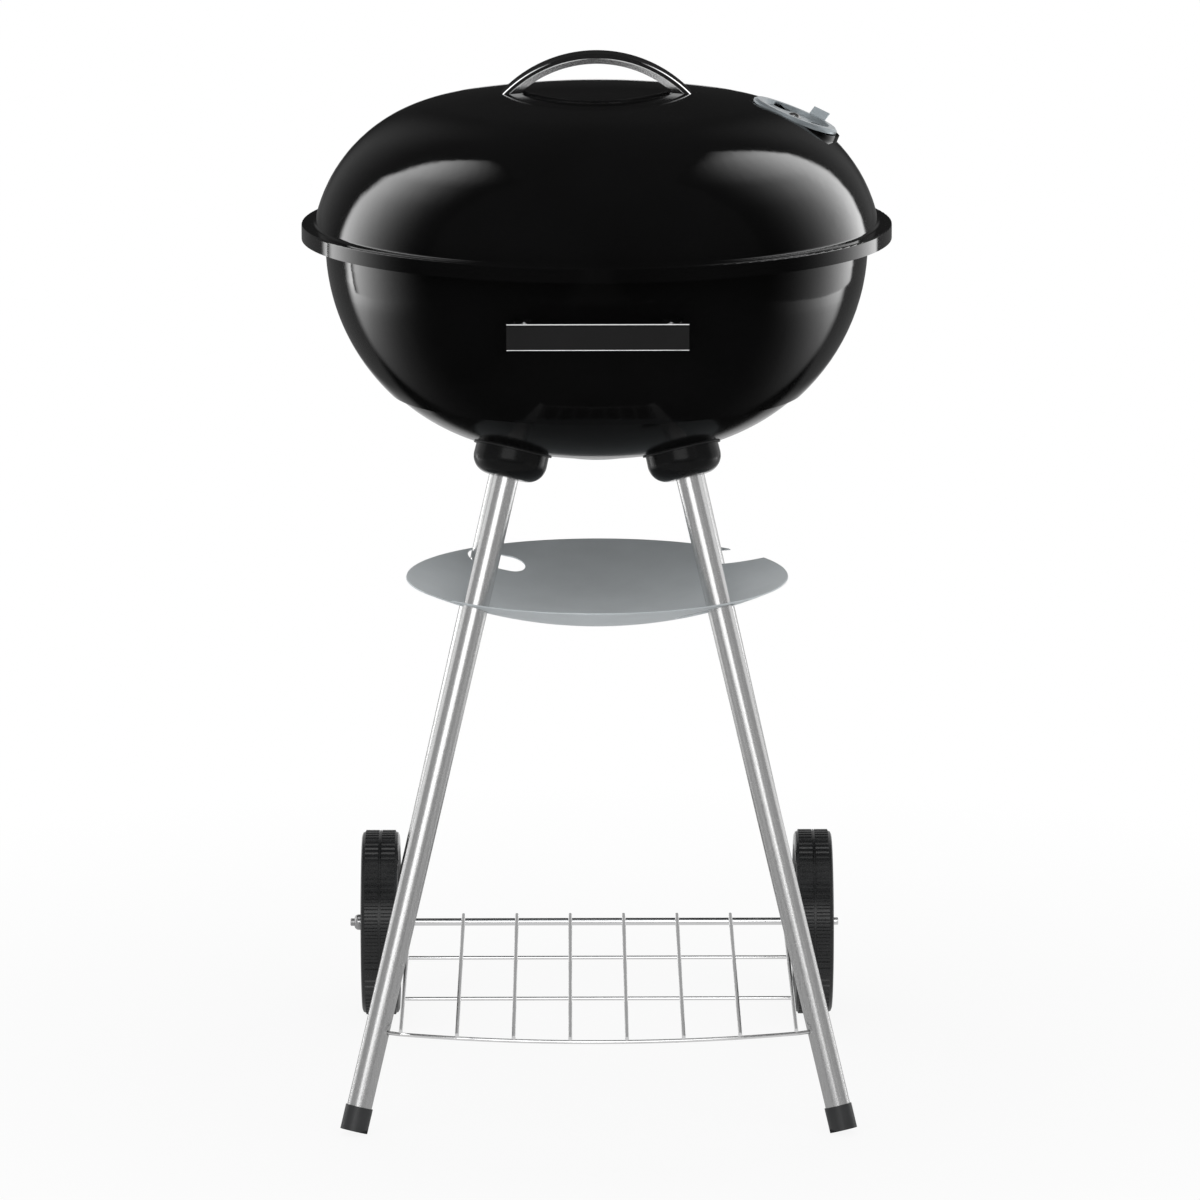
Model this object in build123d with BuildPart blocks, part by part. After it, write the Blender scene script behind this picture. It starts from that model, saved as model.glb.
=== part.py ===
from build123d import *
import math
import os

os.makedirs("parts", exist_ok=True)

# Kettle charcoal grill, drawn about the bowl axis: Z up, front is -Y, ground at Z 0. Millimetres.

# Lid and bowl, pressed from enamelled steel sheet
sheet = 1.2
rim_r = 225.0
rim_z = 669.0
lid_skirt = 11.5
lid_flange = 10.0
lid_base_r = rim_r - lid_flange
lid_lean = math.radians(11.5)
lid_wall = 0.6
lid_crown = 680.0
lid_rise = 103.0
lid_seat_gap = 0.3
lip_gap = 2.3
rim_round = 1.1
base_round = 2.0
lip_round = 1.0
bowl_rim_z = rim_z - sheet - lid_seat_gap
bowl_lip_r = rim_r - sheet - lip_gap
bowl_lip = 5.0
bowl_base_z = bowl_rim_z - sheet
bowl_flange = 13.9
bowl_wall_r = bowl_lip_r - bowl_flange
bowl_lean = math.radians(2.7)
bowl_wall = 20.7
bowl_crown = 324.0
bowl_bottom_z = 490.0
ledge_inset = 2.0
ledge_height = 49.7
ledge_z = bowl_bottom_z + ledge_height
bowl_depth = bowl_base_z - bowl_bottom_z + ledge_inset

# Stand: four splayed tubes, two on feet in front, two on a wheel axle behind
leg_r = 9.5
leg_wall = 1.2
socket_half = 64.3
foot_half = 185.9
wheel_r = 73.7
axle_z = wheel_r
axle_r = 3.0
axle_y = 186.0
axle_leg_half = 157.4
socket_r = 28.2
socket_drop = 21.0
socket_mouth_r = 15.5
socket_corner = 15.0
socket_draft = 0.6
socket_reach = 30.0
gasket_r = 30.0
gasket_t = 1.0
socket_roof = 4.0
screw_r = 3.0
m4 = 2.0
m5 = 2.5
screw_gap = 0.3
fit_gap = 0.05
skin_gap = 0.06
plug_length = 22.0
rear_tail = 11.0
through = 60.0
cap_wall = 0.9
cap_end_z = 2.5
cap_length = 19.0
cap_floor = 3.0

# Wheels, hollow on the inside so that the leg ends nest in them
leg_nest = 9.1
wheel_in = axle_leg_half + leg_r - leg_nest
wheel_width = 29.6
wheel_out = wheel_in + wheel_width
wheel_mid = (wheel_in + wheel_out) / 2
rib_count = 80
rib_depth = 1.0
run_gap = 0.08
hub_r = 11.0
recess_r = 55.0
recess_in = 13.0
recess_out = 7.0
rim_wall = 10.7
hub_inset = 12.0
hub_proud = 3.6
nut_r = 6.2
nut_flange = 6.5
nut_tip = 13.1
nut_seat = 0.3
washer_t = 1.0

# Wire shelf
wire_r = 1.5
wire_count = 8
wire_pitch = 42.7
shelf_z = axle_z + axle_r + wire_r + fit_gap
weld_sink = 0.4
long_z = shelf_z - 2 * wire_r + weld_sink
long_y = [60.0, -69.0]
wire_turn_x = 17.2
wire_turn_y = 9.0
wire_bow = 24.5
wire_past = 4.5
wire_stop = 17.5
wire_plug = 6.5
wire_bend = 5.0

# Ash catcher
dish_r = 147.0
dish_z = 393.0
dish_depth = 32.0
dish_t = 1.0
slot_gap = 0.4
hole_w = 24.0
hole_l = 45.0
hole_shift = 11.5
slot_w = 21.5
slot_turn = 33.0

# Grates inside the bowl
grate_wire_r = 2.0
grate_ring_r = 2.5
cook_r = 199.0
cook_z = 643.0
cook_pitch = 15.0
coal_pitch = 22.0
cook_brace = 70.0
coal_brace = 57.0
grate_weld = 0.8
coal_lap = 1.2
rest_gap = 0.3
bracket_t = 1.5
bracket_h = 16.0
bracket_arc = 6.5
bracket_reach = 13.0

# Handles and dampers
arch_half = 72.0
arch_rise = 27.0
arch_top = rim_z + lid_rise + arch_rise
arch_inner_half = 58.0
arch_band = 7.3
arch_inner_top = arch_top - arch_band
arch_depth = 28.0
arch_sink = 6.0
arch_round = 3.8
tab_x = 60.0
tab_t = 1.54
handle_half = 67.2
handle_h = 20.6
handle_z = 619.0
handle_reach = 33.3
handle_lip = 9.0
handle_round = 2.6
handle_foot_x = 55.0
foot_w = 17.0
foot_wall = 1.5
damper_r = 34.0
damper_rim = 10.0
pan_low = 0.4
pan_depth = 2.6
pan_skirt = 3.4
lug_w = 14.4
lug_h = 8.2
damper_t = 1.0
vent_r = 7.0
vent_ring = 20.0
damper_site_r = 151.6
seat_r = 37.0
seat_sink = 3.0
seat_tip = math.radians(4.0)
base_damper_r = 33.0
base_vent_ring = 19.0
base_lug_w = 12.0
base_lug_l = 18.0
base_lug_h = 7.5
plate_gap = 0.5
rivet_r = 2.5
rivet_head_r = 5.0
rivet_gap = 0.1


def vessel(r0, lean, wall, crown, depth):
    # Knuckle radius and centre (radius, depth) that join a leaning wall to a crowned end
    ca = math.cos(lean)
    sa = math.sin(lean)
    tr = r0 - wall * sa
    tw = wall * ca - depth + crown
    knuckle = (crown**2 - tr**2 - tw**2) / (2 * (crown - tr * ca - tw * sa))
    return knuckle, tr - knuckle * ca, tw + depth - crown - knuckle * sa


class Skin:
    # Offset copies of one pressed profile, as (radius, z) points
    def __init__(self, r0, lean, wall, crown, depth, z0, sign):
        self.r0, self.lean, self.crown = r0, lean, crown
        self.z0, self.sign = z0, sign
        self.knuckle, self.kr, self.kw = vessel(r0, lean, wall, crown, depth)
        self.wc = depth - crown
        self.turn = math.atan2(self.kw - self.wc, self.kr)

    def at(self, r, w):
        return (r, self.z0 + self.sign * w)

    def wall(self, w, off):
        return self.at(self.r0 - w * math.tan(self.lean) + off / math.cos(self.lean), w)

    def arc(self, a, off):
        rad = self.knuckle + off
        return self.at(self.kr + rad * math.cos(a), self.kw + rad * math.sin(a))

    def angle(self, z, off):
        return math.asin((self.sign * (z - self.z0) - self.kw) / (self.knuckle + off))

    def cap(self, a, off):
        rad = self.crown + off
        return self.at(rad * math.cos(a), self.wc + rad * math.sin(a))

    def surface(self, r, off):
        # Point and outward slope angle on the profile at radius r
        flat = (self.crown + off) * math.cos(self.turn)
        if r <= flat:
            a = math.acos(r / (self.crown + off))
            return self.cap(a, off), a
        a = math.acos((r - self.kr) / (self.knuckle + off))
        return self.arc(a, off), a


lid_skin = Skin(lid_base_r, lid_lean, lid_wall, lid_crown, lid_rise, rim_z, 1)
bowl_skin = Skin(bowl_wall_r, bowl_lean, bowl_wall, bowl_crown, bowl_depth, bowl_base_z, -1)
quarter = math.pi / 2


def mid(a, b):
    return (a + b) / 2


def shell_face(skin, off, top_w):
    # Full solid profile from the axis out to the offset skin, closed at depth top_w
    with BuildLine() as outline:
        p = [skin.wall(top_w, off), skin.arc(skin.lean, off), skin.arc(skin.turn, off)]
        end = skin.cap(quarter, off)
        Line(p[0], p[1])
        ThreePointArc(p[1], skin.arc(mid(skin.lean, skin.turn), off), p[2])
        ThreePointArc(p[2], skin.cap(mid(skin.turn, quarter), off), end)
        Line(end, (0, p[0][1]))
        Line((0, p[0][1]), p[0])
    make_face(outline.edges())


def radial_plane(r, turn_deg, z, tilt):
    # Plane on a body of revolution: z_dir is the outward normal, x_dir runs outward and downhill
    t = math.radians(turn_deg)
    n = Vector(math.cos(tilt) * math.cos(t), math.cos(tilt) * math.sin(t), math.sin(tilt))
    x = Vector(math.sin(tilt) * math.cos(t), math.sin(tilt) * math.sin(t), -math.cos(tilt))
    return Plane(origin=(r * math.cos(t), r * math.sin(t), z), x_dir=x, z_dir=n)


def dome_mid(radius, height):
    # Midpoint of the arc that crowns a rivet head, from its edge to its top
    ball = (radius**2 + height**2) / (2 * height)
    half = math.asin(radius / ball) / 2
    return ball * math.sin(half), height - ball * (1 - math.cos(half))


def rod(p, q, radius):
    # Round bar between two points, added to the part being built
    a = Vector(p)
    b = Vector(q)
    with BuildSketch(Plane(origin=a, z_dir=b - a)) as disc:
        Circle(radius)
    extrude(disc.sketch, amount=(b - a).length)


# Solid envelopes of the two pressings, used to seat other pieces on them
with BuildPart() as bowl_body:
    with BuildSketch(Plane.XZ):
        shell_face(bowl_skin, skin_gap, -sheet)
    revolve(axis=Axis.Z)

with BuildPart() as base_body:
    with BuildSketch(Plane.XZ):
        shell_face(bowl_skin, fit_gap - ledge_inset, 0)
    revolve(axis=Axis.Z)

with BuildPart() as base_pad:
    with BuildSketch(Plane.XZ):
        shell_face(bowl_skin, gasket_t + fit_gap - ledge_inset, 0)
    revolve(axis=Axis.Z)

with BuildPart() as socket_roof_body:
    with BuildSketch(Plane.XZ):
        shell_face(bowl_skin, gasket_t + 2 * fit_gap - ledge_inset, 0)
    revolve(axis=Axis.Z)

with BuildPart() as lid_body:
    with BuildSketch(Plane.XZ):
        shell_face(lid_skin, skin_gap, 0)
    revolve(axis=Axis.Z)

with BuildPart() as lid_tab_body:
    with BuildSketch(Plane.XZ):
        shell_face(lid_skin, skin_gap + tab_t, 0)
    revolve(axis=Axis.Z)

with BuildPart() as lid_hollow:
    with BuildSketch(Plane.XZ):
        shell_face(lid_skin, -sheet, 0)
    revolve(axis=Axis.Z)

# Leg axes: each starts where it meets the bowl base and runs down to a foot or the axle
leg_seat_z = bowl_skin.surface(math.hypot(socket_half, socket_half), -ledge_inset)[0][1]


def leg_axis(side, end):
    top = Vector(side * socket_half, end * socket_half, leg_seat_z)
    if end < 0:
        low = Vector(side * foot_half, -foot_half, 0)
    else:
        low = Vector(side * axle_leg_half, axle_y, axle_z)
    return top, (top - low).normalized()


corners = {
    "front_left": (-1, -1),
    "front_right": (1, -1),
    "rear_left": (-1, 1),
    "rear_right": (1, 1),
}
axes = {name: leg_axis(*corners[name]) for name in corners}


def leg_point(name, z):
    # Point of a leg axis at height z
    top, up = axes[name]
    return top + up * ((z - top.Z) / up.Z)


def leg_plane(name, along):
    # Plane across a leg axis, along millimetres above its seat on the bowl
    top, up = axes[name]
    return Plane(origin=top + up * along, x_dir=Vector(0, 1, 0).cross(up), z_dir=up)


def leg_side(name):
    # Plane that holds a leg axis, local y along the axis
    top, up = axes[name]
    x = Vector(0, 1, 0).cross(up).normalized()
    return Plane(origin=top, x_dir=x, z_dir=x.cross(up))


# Damper and handle sites on the lid
(site_r, site_z), site_tilt = lid_skin.surface(damper_site_r, 0)
damper_plane = radial_plane(site_r, 0, site_z, site_tilt + seat_tip).offset(-seat_sink)
(tab_r, tab_z), tab_tilt = lid_skin.surface(tab_x, 0)
tab_planes = [radial_plane(tab_r, a, tab_z, tab_tilt) for a in (0, 180)]

# Handle bolt sites on the bowl front
foot_a = bowl_skin.angle(handle_z, 0)
foot_r = bowl_skin.arc(foot_a, 0)[0]
foot_swing = math.degrees(math.asin(handle_foot_x / foot_r))
foot_turns = [-90 - foot_swing, -90 + foot_swing]
handle_face_y = -foot_r - handle_reach

# Bowl
ledge_in = ledge_z + sheet
with BuildPart() as bowl:
    with BuildSketch(Plane.XZ):
        with BuildLine():
            low = -ledge_inset
            lip_low = bowl_rim_z - bowl_lip
            outer = [(bowl_lip_r - sheet, lip_low), (bowl_lip_r, lip_low), (bowl_lip_r, bowl_rim_z)]
            in_top = bowl_skin.wall(-sheet, -sheet)
            in_t1 = bowl_skin.arc(bowl_skin.lean, -sheet)
            Polyline(*outer, in_top, in_t1)
            a_in = bowl_skin.angle(ledge_in, -sheet)
            a_mid = mid(bowl_skin.lean, a_in)
            ThreePointArc(in_t1, bowl_skin.arc(a_mid, -sheet), bowl_skin.arc(a_in, -sheet))
            b_in = bowl_skin.angle(ledge_in, low - sheet)
            Line(bowl_skin.arc(a_in, -sheet), bowl_skin.arc(b_in, low - sheet))
            in_t2 = bowl_skin.arc(bowl_skin.turn, low - sheet)
            b_mid = mid(b_in, bowl_skin.turn)
            ThreePointArc(bowl_skin.arc(b_in, low - sheet), bowl_skin.arc(b_mid, low - sheet), in_t2)
            in_end = bowl_skin.cap(quarter, low - sheet)
            ThreePointArc(in_t2, bowl_skin.cap(mid(bowl_skin.turn, quarter), low - sheet), in_end)
            out_end = bowl_skin.cap(quarter, low)
            Line(in_end, out_end)
            out_t2 = bowl_skin.arc(bowl_skin.turn, low)
            ThreePointArc(out_end, bowl_skin.cap(mid(bowl_skin.turn, quarter), low), out_t2)
            b_out = bowl_skin.angle(ledge_z, low)
            ThreePointArc(out_t2, bowl_skin.arc(mid(b_out, bowl_skin.turn), low), bowl_skin.arc(b_out, low))
            a_out = bowl_skin.angle(ledge_z, 0)
            Line(bowl_skin.arc(b_out, low), bowl_skin.arc(a_out, 0))
            out_t1 = bowl_skin.arc(bowl_skin.lean, 0)
            ThreePointArc(bowl_skin.arc(a_out, 0), bowl_skin.arc(mid(a_out, bowl_skin.lean), 0), out_t1)
            Polyline(out_t1, bowl_skin.wall(0, 0), (bowl_lip_r - sheet, bowl_base_z), outer[0])
        make_face()
    revolve(axis=Axis.Z)
    rim_edge = [
        e
        for e in bowl.edges().filter_by(GeomType.CIRCLE)
        if abs(e.radius - bowl_lip_r) < 0.01 and abs(e.center().Z - bowl_rim_z) < 0.01
    ]
    fillet(rim_edge, radius=lip_round)
    for name in corners:
        with Locations(leg_plane(name, 0)):
            Cylinder(screw_r + screw_gap, 2 * plug_length, mode=Mode.SUBTRACT)
    for turn in foot_turns:
        with Locations(radial_plane(foot_r, turn, handle_z, -foot_a)):
            Cylinder(m5 + screw_gap, 20, mode=Mode.SUBTRACT)
    with Locations((0, 0, bowl_bottom_z)):
        Cylinder(rivet_r + fit_gap, 20, mode=Mode.SUBTRACT)
        with PolarLocations(base_vent_ring, 3):
            Cylinder(vent_r, 20, mode=Mode.SUBTRACT)

# Flat seat pressed into the lid under its damper
on_top = (Align.CENTER, Align.CENTER, Align.MAX)
with BuildPart() as damper_seat:
    with Locations(damper_plane):
        Cylinder(seat_r, 4 * seat_sink, align=on_top)
    with Locations(damper_plane.offset(-sheet)):
        Cylinder(seat_r - sheet, 4 * seat_sink, align=on_top, mode=Mode.SUBTRACT)
    add(lid_hollow.part, mode=Mode.SUBTRACT)
    with Locations(damper_plane):
        Cylinder(seat_r, sheet, align=on_top)

# Lid
with BuildPart() as lid:
    with BuildSketch(Plane.XZ):
        with BuildLine():
            skirt_z = rim_z - lid_skirt
            low_edge = [(rim_r - sheet, skirt_z), (rim_r, skirt_z), (rim_r, rim_z)]
            Polyline(*low_edge, lid_skin.wall(0, 0), lid_skin.arc(lid_skin.lean, 0))
            a_mid = mid(lid_skin.lean, lid_skin.turn)
            c_mid = mid(lid_skin.turn, quarter)
            over = [lid_skin.arc(lid_skin.lean, 0), lid_skin.arc(lid_skin.turn, 0)]
            ThreePointArc(over[0], lid_skin.arc(a_mid, 0), over[1])
            ThreePointArc(over[1], lid_skin.cap(c_mid, 0), lid_skin.cap(quarter, 0))
            Line(lid_skin.cap(quarter, 0), lid_skin.cap(quarter, -sheet))
            under = [lid_skin.arc(lid_skin.lean, -sheet), lid_skin.arc(lid_skin.turn, -sheet)]
            ThreePointArc(lid_skin.cap(quarter, -sheet), lid_skin.cap(c_mid, -sheet), under[1])
            ThreePointArc(under[1], lid_skin.arc(a_mid, -sheet), under[0])
            Polyline(under[0], lid_skin.wall(-sheet, -sheet), (rim_r - sheet, rim_z - sheet), low_edge[0])
        make_face()
    revolve(axis=Axis.Z)
    rings = lid.edges().filter_by(GeomType.CIRCLE)
    top_rings = [e for e in rings if abs(e.center().Z - rim_z) < 0.01]
    fillet([e for e in top_rings if abs(e.radius - rim_r) < 0.01], radius=rim_round)
    fillet([e for e in lid.edges().filter_by(GeomType.CIRCLE)
            if abs(e.center().Z - rim_z) < 0.01 and abs(e.radius - lid_base_r) < 0.01], radius=base_round)
    with Locations(damper_plane):
        Cylinder(seat_r - sheet, 8 * seat_sink, mode=Mode.SUBTRACT)
    add(damper_seat.part)
    with Locations(damper_plane):
        Cylinder(rivet_r + fit_gap, 16, mode=Mode.SUBTRACT)
        with PolarLocations(vent_ring, 3):
            Cylinder(vent_r, 16, mode=Mode.SUBTRACT)
    for plane in tab_planes:
        with Locations(plane):
            Cylinder(m4 + screw_gap, 12, mode=Mode.SUBTRACT)

# Lid handle: a bowed steel channel whose side flanges widen toward its feet
arch_low = lid_skin.surface(arch_half, 0)[0][1] - arch_sink
arch_high = arch_top - arch_low - arch_sink
out_rad = (arch_half**2 + arch_high**2) / (2 * arch_high)
in_low = lid_skin.surface(arch_inner_half, 0)[0][1]
in_rad = (arch_inner_half**2 + (arch_inner_top - in_low) ** 2) / (2 * (arch_inner_top - in_low))


def arch_face(rad, top, base):
    # Segment under an arch of the given radius and top height, cut off flat at base
    half = math.sqrt(rad**2 - (rad - top + base) ** 2)
    with BuildLine() as outline:
        ThreePointArc((-half, base), (0, top), (half, base))
        Line((half, base), (-half, base))
    make_face(outline.edges())


with BuildPart() as arch_hollow:
    with BuildSketch(Plane.XZ):
        arch_face(out_rad - sheet, arch_top - sheet, arch_low)
    extrude(amount=arch_depth / 2 - sheet, both=True)
    fillet(arch_hollow.edges().filter_by(GeomType.CIRCLE), radius=arch_round - sheet)

with BuildPart() as arch_tabs:
    with Locations((tab_x + 1, 0, tab_z), (-tab_x - 1, 0, tab_z)):
        Box(5 * m4, arch_depth - 2 * sheet + 0.4, 6 * m4)
    add(lid_tab_body.part, mode=Mode.INTERSECT)

with BuildPart() as lid_handle:
    with BuildSketch(Plane.XZ):
        arch_face(out_rad, arch_top, arch_low)
    extrude(amount=arch_depth / 2, both=True)
    fillet(lid_handle.edges().filter_by(GeomType.CIRCLE), radius=arch_round)
    add(arch_hollow.part, mode=Mode.SUBTRACT)
    with BuildSketch(Plane.XZ):
        arch_face(in_rad, arch_inner_top, in_low - 2 * arch_sink)
    extrude(amount=arch_depth, both=True, mode=Mode.SUBTRACT)
    add(arch_tabs.part)
    add(lid_body.part, mode=Mode.SUBTRACT)
    for plane in tab_planes:
        with Locations(plane):
            Cylinder(m4 + screw_gap, 8, mode=Mode.SUBTRACT)


def bolts(planes, radius, head_r, head_h, head_z, end):
    # Pan-head screws: head below head_z on each plane, shank up to end
    for plane in planes:
        with Locations(plane * Pos(0, 0, head_z - head_h)):
            Cylinder(head_r, head_h, align=(Align.CENTER, Align.CENTER, Align.MIN))
            Cylinder(radius, end - head_z + head_h, align=(Align.CENTER, Align.CENTER, Align.MIN))


def hex_nuts(planes, hole, size, height, seat):
    for plane in planes:
        with BuildSketch(plane.offset(seat)) as hexagon:
            RegularPolygon(size / 2, 6, major_radius=False)
            Circle(hole, mode=Mode.SUBTRACT)
        extrude(hexagon.sketch, amount=height)


tab_seat = skin_gap + tab_t + 0.1
with BuildPart() as lid_handle_screws:
    bolts(tab_planes, m4, 2 * m4, 1.2 * m4, -sheet - 0.1, tab_seat + 1.45 * m4)

with BuildPart() as lid_handle_nuts:
    hex_nuts(tab_planes, m4 + fit_gap, 3.5 * m4, 1.2 * m4, tab_seat)

# Lid damper: a pressed pan with a raised rim that turns about its rivet
damper_side = Plane(
    origin=damper_plane.origin,
    x_dir=damper_plane.x_dir,
    z_dir=damper_plane.x_dir.cross(damper_plane.z_dir),
)
damper_axis = Axis(damper_plane.origin, damper_plane.z_dir)
rim_top = pan_low + damper_t + pan_depth
rim_low = rim_top - pan_skirt
pan_r = damper_r - damper_rim
lug_turn = 57.0
lug_lean = 30.0
with BuildPart() as lid_damper:
    with BuildSketch(damper_side):
        with BuildLine():
            hole = rivet_r + run_gap
            top = pan_low + damper_t
            crest = [pan_r + 3.0, damper_r - 2.0]
            upper = [(hole, top), (pan_r, top), (crest[0], rim_top), (crest[1], rim_top)]
            skirt_r = damper_r - damper_t
            side = [(damper_r, rim_top - 1.6), (damper_r, rim_low), (skirt_r, rim_low)]
            under_z = rim_top - damper_t
            lower = [(skirt_r, rim_top - 2.1), (crest[1] - 0.4, under_z), (crest[0] + 0.5, under_z)]
            Polyline(*upper, *side, *lower, (pan_r + 0.5, pan_low), (hole, pan_low), close=True)
        make_face()
    revolve(axis=damper_axis)
    with Locations(damper_plane):
        with PolarLocations(vent_ring, 3):
            Cylinder(vent_r, 16, mode=Mode.SUBTRACT)
    lug = Rot(0, 0, lug_turn) * Pos(damper_r - 1.2 * damper_t, 0, rim_top - 1.6) * Rot(0, lug_lean, 0)
    with Locations(damper_plane * lug):
        Box(damper_t, lug_w, lug_h, align=(Align.CENTER, Align.CENTER, Align.MIN))

with BuildPart() as lid_damper_rivet:
    with BuildSketch(damper_side):
        with BuildLine():
            head = pan_low + damper_t + rivet_gap
            back = -sheet - rivet_gap - fit_gap
            dome = 0.88 * rivet_r
            tail = 0.64 * rivet_r
            tail_r = 1.8 * rivet_r
            Polyline((0, back - tail), (tail_r, back - tail), (tail_r, back), (rivet_r, back))
            Polyline((rivet_r, back), (rivet_r, head), (rivet_head_r, head))
            bulge = dome_mid(rivet_head_r, dome)
            ThreePointArc((rivet_head_r, head), (bulge[0], head + bulge[1]), (0, head + dome))
            Line((0, head + dome), (0, back - tail))
        make_face()
    revolve(axis=damper_axis)

# Bowl handle: a shallow steel pan on two feet bolted to the bowl
foot_planes = [radial_plane(foot_r, turn, handle_z, -foot_a) for turn in foot_turns]
foot_h = handle_h - 2 * sheet - 2
foot_in = foot_w - 2 * foot_wall
with BuildPart() as bowl_pad:
    with BuildSketch(Plane.XZ):
        shell_face(bowl_skin, skin_gap + tab_t, -sheet)
    revolve(axis=Axis.Z)

with BuildPart() as foot_hollow:
    with Locations((handle_foot_x, handle_face_y, handle_z), (-handle_foot_x, handle_face_y, handle_z)):
        with Locations((0, sheet, 0)):
            Box(foot_in, foot_r / 3, 2 * foot_h, align=(Align.CENTER, Align.MIN, Align.CENTER))
    add(bowl_pad.part, mode=Mode.SUBTRACT)

with BuildPart() as bowl_handle:
    with Locations((0, handle_face_y, handle_z)):
        Box(2 * handle_half, handle_lip, handle_h, align=(Align.CENTER, Align.MIN, Align.CENTER))
    front = bowl_handle.faces().sort_by(Axis.Y)[0]
    fillet(front.edges().filter_by(Axis.X), radius=handle_round)
    with Locations((0, handle_face_y + sheet, handle_z)):
        Box(2 * (handle_half - sheet), handle_lip, handle_h - 2 * sheet,
            align=(Align.CENTER, Align.MIN, Align.CENTER), mode=Mode.SUBTRACT)
    for side in (-1, 1):
        with Locations((side * handle_foot_x, handle_face_y + sheet - 0.3, handle_z)):
            Box(foot_w, foot_r / 4, foot_h, align=(Align.CENTER, Align.MIN, Align.CENTER))
    add(foot_hollow.part, mode=Mode.SUBTRACT)
    add(bowl_body.part, mode=Mode.SUBTRACT)
    for plane in foot_planes:
        with Locations(plane):
            Cylinder(m5 + screw_gap, 10, mode=Mode.SUBTRACT)

with BuildPart() as bowl_handle_screws:
    bolts(foot_planes, m5, 1.8 * m5, 1.12 * m5, -sheet - 0.2, tab_seat + 2.16 * m5)

with BuildPart() as bowl_handle_nuts:
    hex_nuts(foot_planes, m5 + fit_gap, 3.2 * m5, 1.6 * m5, tab_seat + 0.1)

# Leg sockets, their gaskets, and the screws from inside the bowl
bore_r = leg_r + 0.1
sockets = {}
for name in corners:
    with BuildPart() as socket:
        with BuildSketch(leg_side(name)):
            with BuildLine():
                corner = (socket_r, socket_corner - socket_drop)
                swell = mid(socket_mouth_r, socket_r) + 2.4
                Line((bore_r, -socket_drop), (socket_mouth_r, -socket_drop))
                ThreePointArc((socket_mouth_r, -socket_drop), (swell, 4.2 - socket_drop), corner)
                pass_r = screw_r + screw_gap
                Polyline(corner, (socket_r - socket_draft, socket_reach), (pass_r, socket_reach),
                         (pass_r, -socket_roof), (bore_r, -socket_roof), (bore_r, -socket_drop))
            make_face()
        revolve(axis=Axis(axes[name][0], axes[name][1]))
        add(socket_roof_body.part, mode=Mode.SUBTRACT)
    sockets[name] = socket

with BuildPart() as socket_gaskets:
    for name in corners:
        with Locations(leg_plane(name, 0)):
            Cylinder(gasket_r, through)
    add(base_pad.part, mode=Mode.INTERSECT)
    add(base_body.part, mode=Mode.SUBTRACT)
    for name in corners:
        with Locations(leg_plane(name, 0)):
            Cylinder(screw_r + screw_gap, through, mode=Mode.SUBTRACT)

leg_top = -socket_roof - 0.2
head_seat = sheet + 0.6
screw_sink = plug_length - 2
screw_planes = [leg_plane(name, 0) for name in corners]
with BuildPart() as socket_screws:
    for plane in screw_planes:
        with Locations(plane * Pos(0, 0, head_seat)):
            Cylinder(2 * screw_r, 1.2 * screw_r, align=(Align.CENTER, Align.CENTER, Align.MIN))
        with Locations(plane * Pos(0, 0, leg_top - screw_sink)):
            shank = head_seat + 0.1 - leg_top + screw_sink
            Cylinder(screw_r, shank, align=(Align.CENTER, Align.CENTER, Align.MIN))

with BuildPart() as leg_plugs:
    for name in corners:
        with BuildSketch(leg_plane(name, leg_top)):
            Circle(leg_r - leg_wall - fit_gap)
            Circle(screw_r + fit_gap, mode=Mode.SUBTRACT)
        extrude(amount=-plug_length)

# Wire shelf ends that plug into the front legs
front_leg = leg_point("front_right", long_z)
front_end_x = front_leg.X - wire_turn_x
front_end_y = front_leg.Y - wire_turn_y
front_mid_y = front_end_y - wire_bow
bow = (front_end_x**2 + (front_end_y - front_mid_y) ** 2) / (2 * (front_end_y - front_mid_y))
bow_y = front_mid_y + bow
wire_ends = {}
for name in ("front_left", "front_right"):
    side = corners[name][0]
    start = Vector(side * front_end_x, front_end_y, long_z)
    target = leg_point(name, long_z)
    wire_ends[name] = (start, target)

# Legs
legs = {}
for name in corners:
    top_point, up = axes[name]
    side, end = corners[name]
    if end < 0:
        low_point = leg_point(name, cap_end_z) + up * (cap_floor + 0.1)
    else:
        low_point = leg_point(name, axle_z) - up * rear_tail
    length = (top_point - low_point).length + leg_top
    with BuildPart() as leg:
        with BuildSketch(leg_plane(name, leg_top)):
            Circle(leg_r)
            Circle(leg_r - leg_wall, mode=Mode.SUBTRACT)
        extrude(amount=-length)
        if end < 0:
            start, target = wire_ends[name]
            with BuildSketch(Plane(origin=start, z_dir=target - start)):
                Circle(wire_r + screw_gap)
            extrude(amount=(target - start).length, mode=Mode.SUBTRACT)
        else:
            with Locations(Plane(origin=(side * axle_leg_half, axle_y, axle_z), z_dir=(1, 0, 0))):
                Cylinder(axle_r + 3 * fit_gap, through, mode=Mode.SUBTRACT)
    legs[name] = leg

# Foot caps with a small flat where each stands on the ground
foot_caps = {}
for name in ("front_left", "front_right"):
    base = leg_point(name, cap_end_z)
    up = axes[name][1]
    with BuildPart() as cap:
        with BuildSketch(Plane(origin=base, z_dir=up)):
            Circle(leg_r + fit_gap + cap_wall)
        extrude(amount=cap_length)
        with BuildSketch(Plane(origin=base + up * cap_floor, z_dir=up)):
            Circle(leg_r + fit_gap)
        extrude(amount=cap_length, mode=Mode.SUBTRACT)
        with Locations((base.X, base.Y, 0)):
            below = (Align.CENTER, Align.CENTER, Align.MAX)
            Box(through, through, cap_length, align=below, mode=Mode.SUBTRACT)
    foot_caps[name] = cap

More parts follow.
